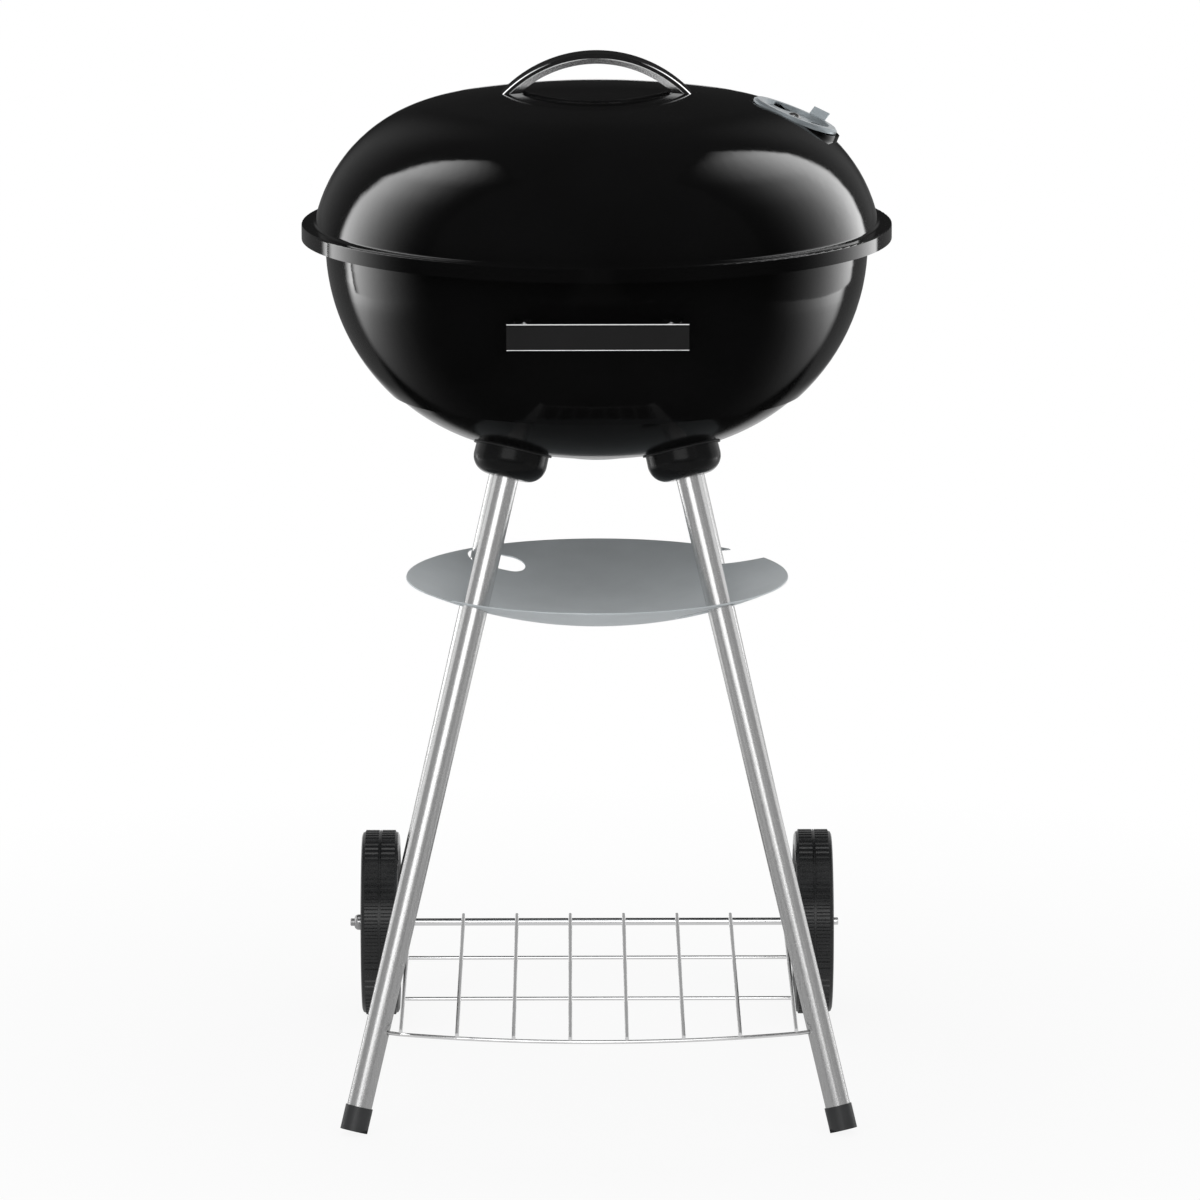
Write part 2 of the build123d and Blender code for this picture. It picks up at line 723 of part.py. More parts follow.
# Plugs in the lower ends of the rear legs
with BuildPart() as rear_leg_plugs:
    for name in ("rear_left", "rear_right"):
        up = axes[name][1]
        tip = leg_point(name, axle_z) - up * rear_tail
        with BuildSketch(Plane(origin=tip, z_dir=up)):
            Circle(leg_r - 0.1)
        extrude(amount=-2.0)
        with BuildSketch(Plane(origin=tip - up * 0.5, z_dir=up)):
            Circle(leg_r - leg_wall - fit_gap)
        extrude(amount=6.0)

# Ash catcher: a shallow dish, two holes and two open slots let the legs through
dish_rad = (dish_r**2 + dish_depth**2) / (2 * dish_depth)
dish_c = dish_z - dish_depth + dish_rad
dish_a = math.asin(dish_r / dish_rad)
cut_leg = leg_point("front_right", dish_z)
leg_cut_z = dish_c - math.sqrt(dish_rad**2 - cut_leg.X**2 - cut_leg.Y**2)


def dish_point(a, rad):
    return (rad * math.sin(a), dish_c - rad * math.cos(a))


lean_k = math.sqrt(1 + ((foot_half - socket_half) / leg_seat_z) ** 2)
with BuildPart() as ash_catcher:
    with BuildSketch(Plane.XZ):
        with BuildLine():
            inner = dish_rad - dish_t
            edge = dish_point(dish_a, dish_rad)
            ThreePointArc(dish_point(0, dish_rad), dish_point(dish_a / 2, dish_rad), edge)
            Line(edge, dish_point(dish_a, inner))
            ThreePointArc(dish_point(dish_a, inner), dish_point(dish_a / 2, inner), dish_point(0, inner))
            Line(dish_point(0, inner), dish_point(0, dish_rad))
        make_face()
    revolve(axis=Axis.Z)
    with BuildSketch(Plane.XY.offset(dish_z - 2 * dish_depth)):
        for name in ("rear_left", "front_right"):
            side, end = corners[name]
            p = leg_point(name, leg_cut_z)
            shift = hole_w / 2 - leg_r * lean_k - slot_gap
            with Locations((p.X - side * hole_shift, p.Y + end * shift)):
                SlotOverall(hole_l, hole_w)
        for name in ("rear_right", "front_left"):
            side, end = corners[name]
            p = leg_point(name, leg_cut_z)
            near = (p.X + side * (slot_w / 2 - leg_r * lean_k - slot_gap), p.Y)
            far = (p.X + side * dish_r / 2, p.Y - end * slot_turn)
            SlotCenterPoint(center=(mid(near[0], far[0]), mid(near[1], far[1])), point=near, height=slot_w)
    extrude(amount=4 * dish_depth, mode=Mode.SUBTRACT)

# Wire shelf
with BuildPart() as wire_shelf:
    with BuildLine() as front_wire:
        left_end, left_leg = wire_ends["front_left"]
        right_end, right_leg = wire_ends["front_right"]
        left_tip = left_leg + (left_end - left_leg).normalized() * wire_plug
        right_tip = right_leg + (right_end - right_leg).normalized() * wire_plug
        Line(left_tip, left_end)
        ThreePointArc(left_end, (0, front_mid_y, long_z), right_end)
        Line(right_end, right_tip)
        fillet(front_wire.vertices().sort_by_distance((0, front_mid_y, long_z))[:2], radius=wire_bend)
    with BuildSketch(Plane(origin=left_tip, x_dir=(0, 0, -1), z_dir=left_end - left_tip)):
        Circle(wire_r)
    sweep(path=front_wire.wire())
    for i in range(wire_count):
        x = (i - (wire_count - 1) / 2) * wire_pitch
        y_front = bow_y - math.sqrt(bow**2 - x**2) - 1.0
        y_rear = axle_y + wire_past
        if i in (0, wire_count - 1):
            y_rear = axle_y - wire_stop
        rod((x, y_front, shelf_z), (x, y_rear, shelf_z), wire_r)
    edge_x = (wire_count - 1) / 2 * wire_pitch + 1.0
    for y in long_y:
        rod((-edge_x, y, long_z), (edge_x, y, long_z), wire_r)

# Axle, its cap nut on the left and push nut on the right, and wheel washers
hub_in = wheel_in + hub_inset
hub_out = wheel_out - hub_proud
axle_end = hub_out + 3.1 * axle_r
nut_floor = hub_out + 2.6 * axle_r
with BuildPart() as axle:
    rod((0.5 - nut_floor, axle_y, axle_z), (axle_end, axle_y, axle_z), axle_r)
    fillet(axle.edges().group_by(Axis.X)[-1], radius=0.8)

with BuildPart() as axle_cap_nut:
    with BuildSketch(Plane(origin=(0, axle_y, axle_z), x_dir=(-1, 0, 0), z_dir=(0, 1, 0))):
        with BuildLine():
            inner_x = hub_out + nut_seat
            tip_x = inner_x + nut_tip
            dome_x = inner_x + nut_flange
            neck = (dome_x + nut_r - axle_r + 0.2, axle_r)
            Polyline((inner_x, axle_r + fit_gap), (inner_x, nut_r), (dome_x, nut_r))
            ThreePointArc((dome_x, nut_r), (dome_x + 2.4, nut_r - 1.0), neck)
            Polyline(neck, (tip_x - 0.6, axle_r), (tip_x, axle_r - 0.6), (tip_x, 0), (nut_floor, 0))
            Polyline((nut_floor, 0), (nut_floor, axle_r + fit_gap), (inner_x, axle_r + fit_gap))
        make_face()
    revolve(axis=Axis((0, axle_y, axle_z), (1, 0, 0)))

with BuildPart() as axle_push_nut:
    with BuildSketch(Plane(origin=(hub_out + nut_seat, axle_y, axle_z), z_dir=(1, 0, 0))):
        Circle(nut_r)
        Circle(axle_r + fit_gap, mode=Mode.SUBTRACT)
    extrude(amount=1.4)

with BuildPart() as wheel_washers:
    for side in (-1, 1):
        with BuildSketch(Plane(origin=(side * (hub_in - nut_seat), axle_y, axle_z), z_dir=(-side, 0, 0))):
            Circle(2 * axle_r)
            Circle(axle_r + fit_gap, mode=Mode.SUBTRACT)
        extrude(amount=washer_t)


# Wheels: ribbed tread, recessed webs and a plain bored hub
def rib_outline(radius, depth):
    pts = []
    step = 2 * math.pi / rib_count
    for k in range(rib_count):
        for part, drop in ((-0.30, depth), (-0.14, 0), (0.14, 0), (0.30, depth)):
            a = (k + part) * step
            pts.append(((radius - drop) * math.cos(a), (radius - drop) * math.sin(a)))
    return pts


def wheel_solid(side):
    core = wheel_r - rib_depth
    rim_in = core - rim_wall
    with BuildPart() as wheel:
        with BuildSketch(Plane(origin=(0, axle_y, axle_z), x_dir=(side, 0, 0), z_dir=(0, -side, 0))):
            with BuildLine():
                web_in = wheel_in + recess_in
                web_out = wheel_out - recess_out
                bore = axle_r + run_gap
                Polyline(
                    (hub_in, bore), (hub_in, hub_r), (web_in, hub_r + 3), (web_in, recess_r - 4),
                    (wheel_in + 2, recess_r + 3), (wheel_in, rim_in), (wheel_in, core - 3),
                    (wheel_in + 0.9, core - 0.9), (wheel_in + 3, core), (wheel_mid - 0.6, core),
                    (wheel_mid - 0.5, wheel_r), (wheel_mid + 0.5, wheel_r), (wheel_mid + 0.6, core),
                    (wheel_out - 3, core), (wheel_out - 0.9, core - 0.9), (wheel_out, core - 3),
                    (wheel_out, rim_in), (wheel_out - 1.5, recess_r + 3), (web_out, recess_r - 2),
                    (web_out, hub_r + 4), (hub_out, hub_r), (hub_out, bore), close=True)
            make_face()
        revolve(axis=Axis((0, axle_y, axle_z), (1, 0, 0)))
        for x0, x1 in ((wheel_in + 3, wheel_mid - 1.2), (wheel_mid + 1.2, wheel_out - 3)):
            with BuildSketch(Plane(origin=(side * x0, axle_y, axle_z), x_dir=(0, 1, 0), z_dir=(side, 0, 0))):
                with BuildLine():
                    Polyline(*rib_outline(wheel_r, rib_depth + 0.02), close=True)
                make_face()
                Circle(core - 2, mode=Mode.SUBTRACT)
            extrude(amount=x1 - x0)
    return wheel


wheel_left = wheel_solid(-1)
wheel_right = wheel_solid(1)

# Cooking grate and charcoal grate
ledge_r = bowl_skin.arc(bowl_skin.angle(ledge_in, -ledge_inset - sheet), -ledge_inset - sheet)[0]
coal_z = ledge_in + rest_gap + grate_ring_r
coal_r = ledge_r + coal_lap


def grate(ring_r, z, pitch, stiff, along):
    # Round ring with parallel bars on top of it and two bars across
    with BuildPart() as part:
        with Locations(Location((0, 0, z), (0, 0, 40))):
            Torus(ring_r, grate_ring_r)
        bar_z = z + grate_ring_r + grate_wire_r - grate_weld
        count = int((ring_r - grate_ring_r) // pitch)
        for i in range(-count, count + 1):
            s = i * pitch
            half = math.sqrt(ring_r**2 - s**2)
            if along:
                rod((s, -half, bar_z), (s, half, bar_z), grate_wire_r)
            else:
                rod((-half, s, bar_z), (half, s, bar_z), grate_wire_r)
        half = math.sqrt(ring_r**2 - stiff**2)
        for s in (-stiff, stiff):
            if along:
                rod((-half, s, z + 0.4), (half, s, z + 0.4), grate_wire_r)
            else:
                rod((s, -half, z + 0.4), (s, half, z + 0.4), grate_wire_r)
    return part


cooking_grate = grate(cook_r, cook_z, cook_pitch, cook_brace, True)
charcoal_grate = grate(coal_r, coal_z, coal_pitch, coal_brace, False)


def inside_r(z):
    return bowl_skin.arc(bowl_skin.angle(z, -sheet), -sheet)[0] - fit_gap


shelf_top = cook_z - grate_ring_r - rest_gap
shelf_low = shelf_top - bracket_h
with BuildPart() as grate_brackets:
    for turn in (45, 135, 225, 315):
        a = math.radians(turn - bracket_arc / 2)
        outward = (math.cos(a), math.sin(a), 0)
        with BuildSketch(Plane(origin=(0, 0, 0), x_dir=outward, z_dir=(math.sin(a), -math.cos(a), 0))):
            with BuildLine():
                back_top = inside_r(shelf_top)
                back_low = inside_r(shelf_low)
                tip = back_top - bracket_reach
                Polyline((back_top, shelf_top), (back_low, shelf_low), (back_low - bracket_t, shelf_low),
                         (back_top - bracket_t, shelf_top - bracket_t), (tip, shelf_top - bracket_t),
                         (tip, shelf_top), close=True)
            make_face()
        revolve(axis=Axis.Z, revolution_arc=bracket_arc)

# Bottom damper under the bowl and its rivet
plate_off = [plate_gap - ledge_inset, plate_gap + damper_t - ledge_inset]


def base_point(r, off):
    return bowl_skin.cap(math.acos(r / (bowl_crown + off)), off)


with BuildPart() as bottom_damper:
    with BuildSketch(Plane.XZ):
        with BuildLine():
            hole = rivet_r + run_gap
            half = mid(hole, base_damper_r)
            up_pts = [base_point(r, plate_off[0]) for r in (hole, half, base_damper_r)]
            low_pts = [base_point(r, plate_off[1]) for r in (base_damper_r, half, hole)]
            ThreePointArc(*up_pts)
            Line(up_pts[2], low_pts[0])
            ThreePointArc(*low_pts)
            Line(low_pts[2], up_pts[0])
        make_face()
    revolve(axis=Axis.Z)
    with PolarLocations(base_vent_ring, 3):
        Cylinder(vent_r, 3 * bowl_bottom_z, mode=Mode.SUBTRACT)
    lug_y = base_damper_r - 4
    lug_z = base_point(lug_y + 1, plate_off[1])[1]
    with Locations((0, lug_y, lug_z)):
        Box(base_lug_w, base_lug_l, damper_t, align=(Align.CENTER, Align.MIN, Align.MIN))
    with Locations((0, lug_y + base_lug_l - damper_t, lug_z + damper_t)):
        Box(base_lug_w, damper_t, base_lug_h, align=(Align.CENTER, Align.MIN, Align.MAX))

with BuildPart() as bottom_damper_rivet:
    with BuildSketch(Plane.XZ):
        with BuildLine():
            head_z = bowl_bottom_z + sheet + rivet_gap
            tail_z = bowl_bottom_z - plate_gap - damper_t - rivet_gap
            flat = head_z + 0.64 * rivet_r
            dome = 0.8 * rivet_r
            Polyline((0, flat), (rivet_head_r, flat), (rivet_head_r, head_z), (rivet_r, head_z))
            Polyline((rivet_r, head_z), (rivet_r, tail_z), (rivet_head_r, tail_z))
            bulge = dome_mid(rivet_head_r, dome)
            ThreePointArc((rivet_head_r, tail_z), (bulge[0], tail_z - bulge[1]), (0, tail_z - dome))
            Line((0, tail_z - dome), (0, flat))
        make_face()
    revolve(axis=Axis.Z)


# Origin of the saved parts: on the ground, midway between the handle's face and the backs of the wheels
middle_y = mid(handle_face_y, axle_y + wheel_r)


def save(builder, label):
    placed = builder.part.moved(Location((0, -middle_y, 0)))
    placed.label = label
    export_step(placed, f"parts/{label}.step")


save(bowl, "bowl")
save(lid, "lid")
save(lid_handle, "lid_handle")
save(lid_handle_screws, "lid_handle_screws")
save(lid_handle_nuts, "lid_handle_nuts")
save(lid_damper, "lid_damper")
save(lid_damper_rivet, "lid_damper_rivet")
save(bowl_handle, "bowl_handle")
save(bowl_handle_screws, "bowl_handle_screws")
save(bowl_handle_nuts, "bowl_handle_nuts")
for name in corners:
    save(sockets[name], f"leg_socket_{name}")
    save(legs[name], f"leg_{name}")
save(socket_gaskets, "socket_gaskets")
save(socket_screws, "socket_screws")
save(leg_plugs, "leg_plugs")
save(foot_caps["front_left"], "foot_cap_left")
save(foot_caps["front_right"], "foot_cap_right")
save(rear_leg_plugs, "rear_leg_plugs")
save(ash_catcher, "ash_catcher")
save(wire_shelf, "wire_shelf")
save(axle, "axle")
save(axle_cap_nut, "axle_cap_nut")
save(axle_push_nut, "axle_push_nut")
save(wheel_washers, "wheel_washers")
save(wheel_left, "wheel_left")
save(wheel_right, "wheel_right")
save(cooking_grate, "cooking_grate")
save(charcoal_grate, "charcoal_grate")
save(grate_brackets, "grate_brackets")
save(bottom_damper, "bottom_damper")
save(bottom_damper_rivet, "bottom_damper_rivet")
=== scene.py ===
import math

import bpy
from mathutils import Matrix, Vector


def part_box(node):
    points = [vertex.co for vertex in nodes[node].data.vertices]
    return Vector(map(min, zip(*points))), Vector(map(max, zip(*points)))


# Kettle charcoal grill: finishes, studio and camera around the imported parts. Metres, front is -Y.

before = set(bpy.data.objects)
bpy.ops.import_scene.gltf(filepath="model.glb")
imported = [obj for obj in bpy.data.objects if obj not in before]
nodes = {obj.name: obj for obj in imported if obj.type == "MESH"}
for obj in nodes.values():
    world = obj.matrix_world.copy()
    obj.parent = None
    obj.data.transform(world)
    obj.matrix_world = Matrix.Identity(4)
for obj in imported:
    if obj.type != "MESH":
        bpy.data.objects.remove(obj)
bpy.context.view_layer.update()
scene = bpy.context.scene

# Camera, from the photograph's viewing angle
CAMERA_TURN = math.radians(-0.2)
CAMERA_ROLL = math.radians(-0.08)
CAMERA_PITCH = 0.201
CAMERA_REACH = 6.0104
CAMERA_HEIGHT = 1.5965
CAMERA_SIDE = 0.0022
LENS_MM = 238.55
SENSOR_MM = 36.0

# Studio
PANEL_X = 1.8
PANEL_FRONT_Y = -0.75
PANEL_FULL_Y = {-1: 1.15, 1: 1.75}
PANEL_REAR_Y = {-1: 1.24, 1: 2.0}
PANEL_TOP = 5.1
PANEL_LEVEL = {-1: 4.6, 1: 4.1}
PANEL_FOOT = 0.02
PANEL_CURVE = 1.8
PANEL_EDGE = 0.22
FLOOR_HALF = 14.0
FLOOR_COLOUR = (0.8, 0.8, 0.8, 1)
FLOOR_BESIDE_GRILL = 0.91
FLOOR_FRONT_LEVEL = 0.025
FLOOR_SIDE_SHARE = 0.12
STRIP_FULL = 1.3
STRIP_END = 1.7
STRIP_REACH = 2.1
STRIP_REACH_CURVE = 2.7
WALL_LEVEL = 0.02
CORNER_LEVEL = 0.13
AMBIENT = 0.9

# Finishes
ENAMEL_IOR = 1.5
ENAMEL_SPECULAR = 0.5
ENAMEL_LOW_SPECULAR = 0.05
SOCKET_SPECULAR = 0.16
MOULDED_TINT = (0.97, 1.0, 1.04)
TUBE_WIDTH = 0.018
SHINY = ("bowl", "lid", "lid_handle", "bowl_handle")
SIDES = {-1: "left", 1: "right"}
MIRROR_RAYS = ("Is Glossy Ray", "Is Transmission Ray")
SMOOTH = "SMOOTHSTEP"


def new_material(name):
    mat = bpy.data.materials.new(name)
    mat.use_nodes = True
    tree = mat.node_tree
    return mat, tree, tree.nodes["Principled BSDF"]


def link(tree, source, target):
    tree.links.new(source, target)


def bare_material(name):
    # A material with an empty output, for the studio
    mat = bpy.data.materials.new(name)
    mat.use_nodes = True
    tree = mat.node_tree
    tree.nodes.clear()
    return mat, tree, tree.nodes.new("ShaderNodeOutputMaterial")


def parts_of(tree, vector):
    node = tree.nodes.new("ShaderNodeSeparateXYZ")
    link(tree, vector, node.inputs[0])
    return node.outputs


def coords(tree, kind):
    return tree.nodes.new("ShaderNodeTexCoord").outputs[kind]


def place(tree, scale=(1, 1, 1), turn=(0, 0, 0)):
    # Object coordinates in metres, turned and stretched
    mapping = tree.nodes.new("ShaderNodeMapping")
    mapping.inputs["Rotation"].default_value = turn
    mapping.inputs["Scale"].default_value = scale
    link(tree, coords(tree, "Object"), mapping.inputs["Vector"])
    return mapping.outputs["Vector"]


def noise(tree, vector, scale, detail=4.0, rough=0.55):
    node = tree.nodes.new("ShaderNodeTexNoise")
    node.inputs["Scale"].default_value = scale
    node.inputs["Detail"].default_value = detail
    node.inputs["Roughness"].default_value = rough
    link(tree, vector, node.inputs["Vector"])
    return node.outputs["Fac"]


def spread(tree, fac, low, high, start=0.3, end=0.7, kind="LINEAR"):
    # A number that runs from low to high as the pattern runs from start to end
    node = tree.nodes.new("ShaderNodeMapRange")
    node.interpolation_type = kind
    node.inputs["From Min"].default_value = start
    node.inputs["From Max"].default_value = end
    node.inputs["To Min"].default_value = low
    node.inputs["To Max"].default_value = high
    link(tree, fac, node.inputs["Value"])
    return node.outputs["Result"]


def math_node(tree, operation, a, b=None):
    node = tree.nodes.new("ShaderNodeMath")
    node.operation = operation
    for socket, value in zip(node.inputs, (a, b)):
        if value is None:
            continue
        if isinstance(value, (int, float)):
            socket.default_value = value
        else:
            link(tree, value, socket)
    return node.outputs[0]


def product(tree, *factors):
    total = factors[0]
    for factor in factors[1:]:
        total = math_node(tree, "MULTIPLY", total, factor)
    return total


def ramp(tree, fac, stops):
    node = tree.nodes.new("ShaderNodeValToRGB")
    band = node.color_ramp
    while len(band.elements) < len(stops):
        band.elements.new(0.5)
    for element, (at, colour) in zip(band.elements, stops):
        element.position = at
        element.color = (*colour, 1)
    link(tree, fac, node.inputs["Fac"])
    return node.outputs["Color"]


def bump(tree, shader, height, depth, strength):
    node = tree.nodes.new("ShaderNodeBump")
    node.inputs["Strength"].default_value = strength
    node.inputs["Distance"].default_value = depth
    link(tree, height, node.inputs["Height"])
    link(tree, node.outputs["Normal"], shader.inputs["Normal"])


def grey(level, tint=(1.0, 1.0, 1.0)):
    return tuple(level * t for t in tint)


def enamel():
    # Glass-smooth black enamel with a faint orange peel and a hint of cloudiness
    mat, tree, shader = new_material("black_enamel")
    at = place(tree)
    cloud = noise(tree, at, 9.0, 3.0)
    stops = [(0.3, grey(0.0034)), (0.7, grey(0.0048, (1.0, 1.0, 1.03)))]
    link(tree, ramp(tree, cloud, stops), shader.inputs["Base Color"])
    # The coat is duller and reflects less low on the bowl
    height = parts_of(tree, at)["Z"]
    dull = spread(tree, height, 0.12, 0.0, 0.505, 0.56, SMOOTH)
    shine = spread(tree, height, ENAMEL_LOW_SPECULAR, ENAMEL_SPECULAR, 0.54, 0.60, SMOOTH)
    link(tree, shine, shader.inputs["Specular IOR Level"])
    speck = noise(tree, at, 700.0, 2.0)
    rough = math_node(tree, "ADD", spread(tree, speck, 0.055, 0.085), dull)
    link(tree, rough, shader.inputs["Roughness"])
    shader.inputs["IOR"].default_value = ENAMEL_IOR
    bump(tree, shader, noise(tree, at, 130.0, 2.0), 0.0006, 0.035)
    return mat


def plated(name, level, gloss, grain):
    # Bright plated steel with fine drawing marks
    mat, tree, shader = new_material(name)
    at = place(tree)
    patch = noise(tree, at, 30.0, 3.0)
    stops = [(0.3, grey(level * 0.94)), (0.7, grey(level, (1.0, 1.0, 1.01)))]
    link(tree, ramp(tree, patch, stops), shader.inputs["Base Color"])
    shader.inputs["Metallic"].default_value = 1.0
    fine = noise(tree, at, grain, 3.0)
    link(tree, spread(tree, fine, gloss * 0.8, gloss * 1.25), shader.inputs["Roughness"])
    bump(tree, shader, fine, 0.0002, 0.05)
    return mat


def tube_steel(name, axis):
    # Drawn steel tube, the grain runs along its axis
    mat, tree, shader = new_material(name)
    turn = Vector(axis).rotation_difference(Vector((0, 0, 1))).to_euler()
    along = place(tree, (900.0, 900.0, 14.0), turn)
    specks = place(tree, (260.0, 260.0, 60.0), turn)
    streak = noise(tree, along, 1.0, 4.0, 0.6)
    grit = noise(tree, specks, 2.0, 5.0, 0.7)
    stops = [(0.25, grey(0.64)), (0.5, grey(0.70)), (0.75, grey(0.74, (1.0, 0.995, 0.985)))]
    link(tree, ramp(tree, grit, stops), shader.inputs["Base Color"])
    shader.inputs["Metallic"].default_value = 1.0
    link(tree, spread(tree, grit, 0.22, 0.29), shader.inputs["Roughness"])
    bump(tree, shader, streak, 0.0003, 0.06)
    return mat


def satin_sheet(name, low, high, gloss, metal, tint):
    # Grey coated sheet with a fine even grain
    mat, tree, shader = new_material(name)
    at = place(tree)
    patch = noise(tree, at, 22.0, 5.0)
    stops = [(0.3, grey(low, tint)), (0.7, grey(high, tint))]
    link(tree, ramp(tree, patch, stops), shader.inputs["Base Color"])
    shader.inputs["Metallic"].default_value = metal
    fine = noise(tree, at, 1500.0, 2.0)
    link(tree, spread(tree, fine, gloss * 0.85, gloss * 1.15), shader.inputs["Roughness"])
    bump(tree, shader, fine, 0.0002, 0.08)
    return mat


def moulded(name, low, high, gloss, grain, depth):
    # Moulded plastic or rubber with a fine tool texture
    mat, tree, shader = new_material(name)
    at = place(tree)
    patch = noise(tree, at, 40.0, 4.0)
    stops = [(0.3, grey(low, MOULDED_TINT)), (0.7, grey(high, MOULDED_TINT))]
    link(tree, ramp(tree, patch, stops), shader.inputs["Base Color"])
    fine = noise(tree, at, grain, 3.0)
    link(tree, spread(tree, fine, gloss * 0.85, gloss * 1.2), shader.inputs["Roughness"])
    bump(tree, shader, fine, depth, 0.2)
    return mat


def leg_axis(name):
    # Unit vector down along a leg, from its box
    low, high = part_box(name)
    sx = 1 if low.x + high.x > 0 else -1
    sy = 1 if low.y + high.y > 0 else -1
    size = high - low
    run = Vector((sx * (size.x - TUBE_WIDTH), sy * (size.y - TUBE_WIDTH), -size.z))
    return run.normalized()


black_enamel = enamel()
handle_chrome = plated("handle_chrome", 0.62, 0.075, 900.0)
wire_chrome = plated("wire_chrome", 0.68, 0.16, 900.0)
fastener_zinc = plated("fastener_zinc", 0.60, 0.26, 1200.0)
axle_steel = plated("axle_steel", 0.64, 0.18, 1000.0)
dish_grey = satin_sheet("dish_grey", 0.64, 0.70, 0.50, 0.55, (0.94, 1.0, 1.03))
damper_grey = satin_sheet("damper_grey", 0.34, 0.40, 0.30, 0.6, (0.90, 1.0, 1.06))
socket_black = moulded("socket_black", 0.003, 0.005, 0.20, 600.0, 0.00005)
socket_shader = socket_black.node_tree.nodes["Principled BSDF"]
socket_shader.inputs["Specular IOR Level"].default_value = SOCKET_SPECULAR
gasket_black = moulded("gasket_black", 0.006, 0.010, 0.5, 900.0, 0.0002)
wheel_black = moulded("wheel_black", 0.011, 0.018, 0.27, 700.0, 0.0002)
cap_grey = moulded("cap_grey", 0.017, 0.026, 0.34, 800.0, 0.0003)

finish = {
    "bowl": black_enamel,
    "lid": black_enamel,
    "lid_handle": handle_chrome,
    "bowl_handle": handle_chrome,
    "cooking_grate": wire_chrome,
    "charcoal_grate": wire_chrome,
    "wire_shelf": wire_chrome,
    "ash_catcher": dish_grey,
    "lid_damper": damper_grey,
    "bottom_damper": damper_grey,
    "socket_gaskets": gasket_black,
    "leg_plugs": cap_grey,
    "rear_leg_plugs": cap_grey,
    "foot_cap_left": cap_grey,
    "foot_cap_right": cap_grey,
    "wheel_left": wheel_black,
    "wheel_right": wheel_black,
    "axle": axle_steel,
}
for corner in ("front_left", "front_right", "rear_left", "rear_right"):
    finish[f"leg_socket_{corner}"] = socket_black
    leg = f"leg_{corner}"
    finish[leg] = tube_steel(f"tube_{corner}", leg_axis(leg))

for name, obj in nodes.items():
    coat = finish.get(name, fastener_zinc)
    for slot in obj.material_slots:
        slot.material = coat


# Studio: floor, two tall side panels, lamps for groups of pieces, and the room
def light_path_any(tree, outputs):
    # 1 where the ray is any of the named kinds
    path = tree.nodes.new("ShaderNodeLightPath")
    total = path.outputs[outputs[0]]
    for name in outputs[1:]:
        total = math_node(tree, "MAXIMUM", total, path.outputs[name])
    return total


def mix_shaders(tree, fac, first, second):
    node = tree.nodes.new("ShaderNodeMixShader")
    for socket, source in zip(node.inputs, (fac, first, second)):
        link(tree, source, socket)
    return node.outputs[0]


def plane(name, corners):
    mesh = bpy.data.meshes.new(name)
    mesh.from_pydata(corners, [], [(0, 1, 2, 3)])
    obj = bpy.data.objects.new(name, mesh)
    scene.collection.objects.link(obj)
    return obj


def make_floor():
    h = FLOOR_HALF
    floor = plane("floor", [(-h, -h, 0), (h, -h, 0), (h, h, 0), (-h, h, 0)])
    mat, tree, out = bare_material("floor_white")
    paper = tree.nodes.new("ShaderNodeBsdfDiffuse")
    paper.inputs["Color"].default_value = FLOOR_COLOUR
    white = tree.nodes.new("ShaderNodeEmission")
    at = coords(tree, "Object")
    split = parts_of(tree, at)
    flat = tree.nodes.new("ShaderNodeVectorMath")
    flat.operation = "LENGTH"
    link(tree, at, flat.inputs[0])
    # The camera sees the floor white, with the shadow kept near the grill
    far = spread(tree, flat.outputs["Value"], FLOOR_BESIDE_GRILL, 1.0, 0.30, 1.0)
    seen = product(tree, far, light_path_any(tree, ("Is Camera Ray",)))
    bright = mix_shaders(tree, seen, paper.outputs[0], white.outputs[0])
    # Reflections see the floor dim in front, lit behind the grill and lit beside the panels
    dim = tree.nodes.new("ShaderNodeEmission")
    aside = math_node(tree, "ABSOLUTE", split["X"])
    behind = spread(tree, split["Y"], FLOOR_FRONT_LEVEL, 1.0, 0.62, 0.85, SMOOTH)
    middle = spread(tree, aside, 1.0, FLOOR_SIDE_SHARE, 0.25, 0.6, SMOOTH)
    reach = spread(tree, aside, 0.0, 1.0, 0.0, STRIP_REACH)
    reach = math_node(tree, "POWER", reach, STRIP_REACH_CURVE)
    ahead = product(tree, math_node(tree, "DIVIDE", split["Y"], aside), PANEL_X)
    strip = spread(tree, ahead, 0.0, 1.0, PANEL_FRONT_Y, STRIP_FULL, SMOOTH)
    strip = math_node(tree, "POWER", strip, PANEL_CURVE)
    cut = spread(tree, ahead, 1.0, 0.0, STRIP_FULL, STRIP_END, SMOOTH)
    beside = product(tree, reach, strip, cut, PANEL_LEVEL[-1])
    level = math_node(tree, "ADD", product(tree, behind, middle), beside)
    link(tree, level, dim.inputs["Strength"])
    mirror = light_path_any(tree, MIRROR_RAYS)
    link(tree, mix_shaders(tree, mirror, bright, dim.outputs[0]), out.inputs["Surface"])
    floor.data.materials.append(mat)


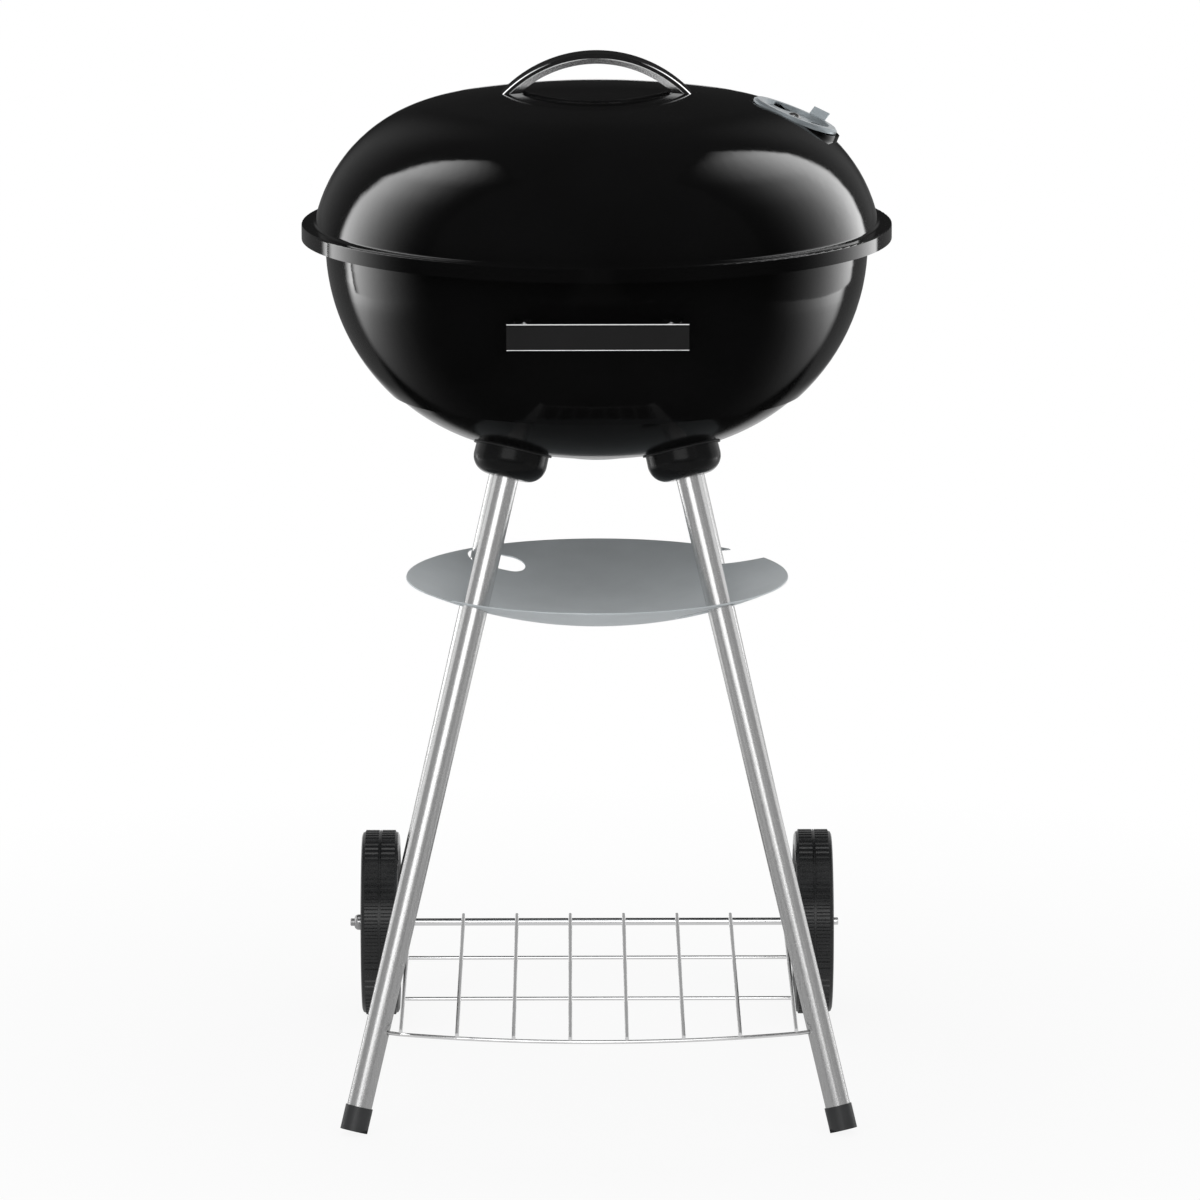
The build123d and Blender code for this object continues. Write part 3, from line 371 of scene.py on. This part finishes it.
def make_panel(side, receivers):
    # A tall glowing sheet beside the grill that fades to the front, the top and the foot
    x = side * PANEL_X
    front, rear = PANEL_FRONT_Y, PANEL_REAR_Y[side]
    low, top = PANEL_FOOT, PANEL_TOP
    name = f"panel_{SIDES[side]}"
    panel = plane(name, [(x, front, low), (x, rear, low), (x, rear, top), (x, front, top)])
    mat, tree, out = bare_material(name)
    glow = tree.nodes.new("ShaderNodeEmission")
    split = parts_of(tree, coords(tree, "Object"))
    fade = spread(tree, split["Y"], 0.0, 1.0, front, PANEL_FULL_Y[side], SMOOTH)
    fade = math_node(tree, "POWER", fade, PANEL_CURVE)
    foot = spread(tree, split["Z"], 0.0, PANEL_LEVEL[side], -0.9, 0.8, SMOOTH)
    head = spread(tree, split["Z"], 1.0, 0.0, 2.4, top, SMOOTH)
    edge = spread(tree, split["Y"], 1.0, 0.0, rear - PANEL_EDGE, rear, SMOOTH)
    link(tree, product(tree, fade, foot, head, edge), glow.inputs["Strength"])
    link(tree, glow.outputs[0], out.inputs["Surface"])
    panel.data.materials.append(mat)
    panel.visible_camera = False
    panel.visible_shadow = False
    panel.light_linking.receiver_collection = receivers


def make_lamp(name, spot, aim, size, level, receivers):
    # A soft rectangle; its level is its brightness whatever its size
    lamp = bpy.data.lights.new(name, "AREA")
    lamp.shape = "RECTANGLE"
    lamp.size, lamp.size_y = size
    lamp.energy = level * math.pi * size[0] * size[1]
    obj = bpy.data.objects.new(name, lamp)
    obj.location = spot
    obj.rotation_euler = (Vector(aim) - obj.location).to_track_quat("-Z", "Y").to_euler()
    scene.collection.objects.link(obj)
    obj.light_linking.receiver_collection = receivers
    obj.visible_camera = False


def lit_group(name, members):
    group = bpy.data.collections.new(name)
    for member in members:
        group.objects.link(nodes[member])
    return group


def make_lights():
    # The tall panels shine on the mirror-like pieces, the lamps on all the others
    mirror = lit_group("mirror_lit", [name for name in nodes if name in SHINY])
    satin = lit_group("satin_lit", [name for name in nodes if name not in SHINY])
    arch = lit_group("arch_lit", ["lid_handle"])
    grip = lit_group("grip_lit", ["bowl_handle"])
    sheet = lit_group("sheet_lit", ["ash_catcher", "lid_damper"])
    shelf = lit_group("shelf_lit", ["wire_shelf", "axle"])
    for side in SIDES:
        make_panel(side, mirror)
    make_lamp("front_key", (-0.7, -4.2, 1.9), (0, 0, 0.45), (3.2, 1.6), 1.7, satin)
    make_lamp("front_fill", (0, -5.0, 1.8), (0, 0, 0.45), (8.0, 3.6), 0.36, satin)
    for side, word in SIDES.items():
        beside = (side * 1.7, -1.1, 1.72)
        make_lamp(f"{word}_fill", beside, (0, *beside[1:]), (2.4, 3.4), 0.34, satin)
    for side, word in SIDES.items():
        behind = (side * 1.75, 1.25, 0.95)
        make_lamp(f"{word}_rear", behind, (0, *behind[1:]), (2.3, 1.9), 0.85, satin)
    make_lamp("back_fill", (0, 2.4, 0.95), (0, 0, 0.95), (3.4, 1.9), 0.4, satin)
    make_lamp("floor_fill", (0, -0.2, 0.004), (0, -0.2, 1.0), (6.0, 4.5), 0.38, satin)
    make_lamp("top_fill", (0, -0.6, 3.6), (0, 0, 0.5), (2.4, 1.6), 1.2, satin)
    make_lamp("grip_top", (0, -0.6, 3.6), (0, 0, 0.7), (2.4, 1.6), 1.6, grip)
    make_lamp("grip_low", (0, -0.16, 0.02), (0, -0.16, 1.0), (1.6, 0.3), 1.8, grip)
    make_lamp("sheet_back", (0, 2.6, 0.9), (0, 0, 0.5), (6.0, 1.5), 0.40, sheet)
    make_lamp("shelf_low", (0, -0.2, 0.003), (0, -0.2, 1.0), (3.0, 3.0), 0.45, shelf)
    make_lamp("shelf_front", (0, -3.0, 1.65), (0, 0, 0.06), (3.0, 2.7), 1.9, shelf)
    for side, word in SIDES.items():
        ahead = (side * 0.26, -3.5, 0.85)
        make_lamp(f"arch_{word}", ahead, (ahead[0], 0, ahead[2]), (0.36, 1.5), 1.0, arch)


def make_world():
    # White for the camera, a dim room with lighter rear corners for reflections
    world = bpy.data.worlds.new("studio")
    scene.world = world
    world.use_nodes = True
    tree = world.node_tree
    tree.nodes.clear()
    out = tree.nodes.new("ShaderNodeOutputWorld")
    split = parts_of(tree, coords(tree, "Generated"))
    rear = spread(tree, split["Y"], 0.0, 1.0, 0.55, 0.93, SMOOTH)
    aside = math_node(tree, "ABSOLUTE", split["X"])
    corner = spread(tree, aside, 0.0, CORNER_LEVEL, 0.12, 0.40, SMOOTH)
    wall = math_node(tree, "ADD", product(tree, rear, corner), WALL_LEVEL)
    mirror = light_path_any(tree, MIRROR_RAYS)
    seen = light_path_any(tree, ("Is Camera Ray",))
    room = tree.nodes.new("ShaderNodeMix")
    room.inputs[2].default_value = AMBIENT
    link(tree, mirror, room.inputs[0])
    link(tree, wall, room.inputs[3])
    level = tree.nodes.new("ShaderNodeMix")
    level.inputs[3].default_value = 1.0
    link(tree, seen, level.inputs[0])
    link(tree, room.outputs[0], level.inputs[2])
    back = tree.nodes.new("ShaderNodeBackground")
    back.inputs["Color"].default_value = (1, 1, 1, 1)
    link(tree, level.outputs[0], back.inputs["Strength"])
    link(tree, back.outputs[0], out.inputs["Surface"])


def make_camera():
    data = bpy.data.cameras.new("photo_camera")
    data.sensor_width = SENSOR_MM
    data.lens = LENS_MM
    obj = bpy.data.objects.new("photo_camera", data)
    scene.collection.objects.link(obj)
    spin = Matrix.Rotation(CAMERA_TURN, 4, "Z")
    stand = Matrix.Translation((CAMERA_SIDE, -CAMERA_REACH, CAMERA_HEIGHT))
    tilt = Matrix.Rotation(math.pi / 2 - CAMERA_PITCH, 4, "X")
    roll = Matrix.Rotation(CAMERA_ROLL, 4, "Z")
    obj.matrix_world = spin @ stand @ tilt @ roll
    scene.camera = obj


make_floor()
make_lights()
make_world()
make_camera()
scene.view_settings.view_transform = "Standard"
